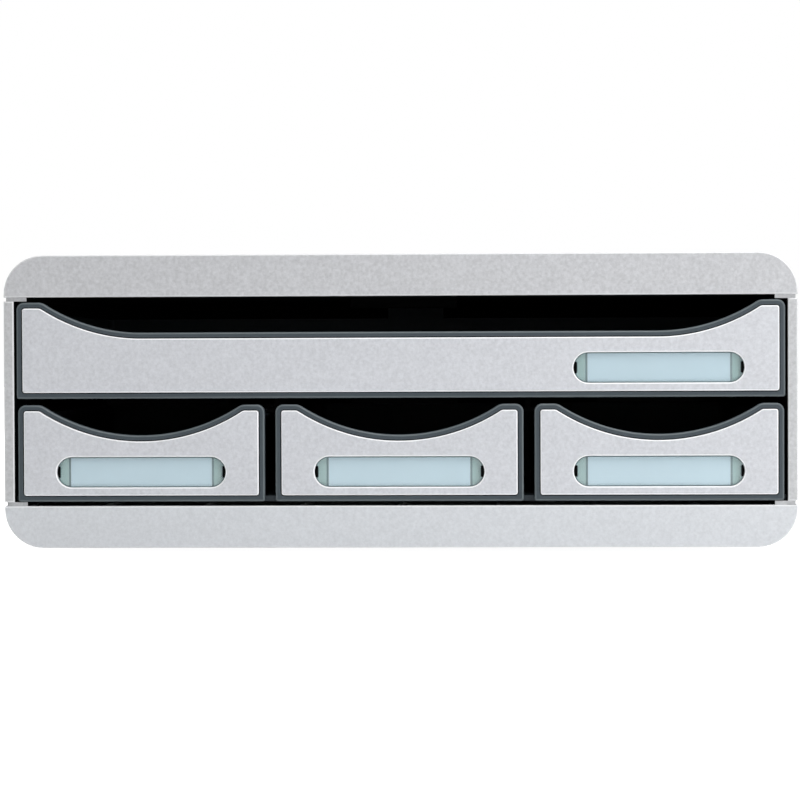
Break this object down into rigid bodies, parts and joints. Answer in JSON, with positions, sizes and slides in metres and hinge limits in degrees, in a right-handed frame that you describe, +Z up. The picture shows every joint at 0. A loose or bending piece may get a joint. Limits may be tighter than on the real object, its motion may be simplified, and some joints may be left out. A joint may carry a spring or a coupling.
{
  "type": "desktop mini drawers",
  "caption": "Low desktop drawer unit in light grey plastic: a full-width drawer over a row of small ones, with scooped dark-rimmed fronts and label windows.",
  "frame": {"origin": "middle of the footprint, at the level of the surface that the feet stand on", "axes": "+X to the right as seen from the front, +Y from the drawer fronts to the back, +Z up"},
  "size_m": [0.355, 0.27, 0.135],
  "materials": {
    "casing_shell": "fine spark-eroded texture",
    "facing_grey": "fine spark-eroded texture",
    "tray_slate": "satin",
    "inner_frame": "matte",
    "label_card": "matte card",
    "label_window": "clear, polished",
    "foot_rubber": "matte"
  },
  "bodies": {
    "housing": {"top_cover": "casing_shell", "bottom_cover": "casing_shell", "left_side_panel": "casing_shell", "right_side_panel": "casing_shell", "back_panel": "inner_frame", "ceiling_plate": "inner_frame", "middle_shelf": "inner_frame", "floor_plate": "inner_frame", "left_divider": "inner_frame", "right_divider": "inner_frame", "front_left_foot": "foot_rubber", "front_right_foot": "foot_rubber", "back_left_foot": "foot_rubber", "back_right_foot": "foot_rubber"},
    "wide_drawer": {"wide_tray": "tray_slate", "wide_facing": "facing_grey", "wide_label_card": "label_card", "wide_label_window": "label_window"},
    "left_drawer": {"left_tray": "tray_slate", "left_facing": "facing_grey", "left_label_card": "label_card", "left_label_window": "label_window"},
    "middle_drawer": {"middle_tray": "tray_slate", "middle_facing": "facing_grey", "middle_label_card": "label_card", "middle_label_window": "label_window"},
    "right_drawer": {"right_tray": "tray_slate", "right_facing": "facing_grey", "right_label_card": "label_card", "right_label_window": "label_window"}
  },
  "joints": [
    {"name": "wide_drawer_slide", "type": "slide", "parent": "housing", "child": "wide_drawer", "axis": [0, -1, 0], "range_m": [0, 0.19]},
    {"name": "left_drawer_slide", "type": "slide", "parent": "housing", "child": "left_drawer", "axis": [0, -1, 0], "range_m": [0, 0.19]},
    {"name": "middle_drawer_slide", "type": "slide", "parent": "housing", "child": "middle_drawer", "axis": [0, -1, 0], "range_m": [0, 0.19]},
    {"name": "right_drawer_slide", "type": "slide", "parent": "housing", "child": "right_drawer", "axis": [0, -1, 0], "range_m": [0, 0.19]}
  ]
}
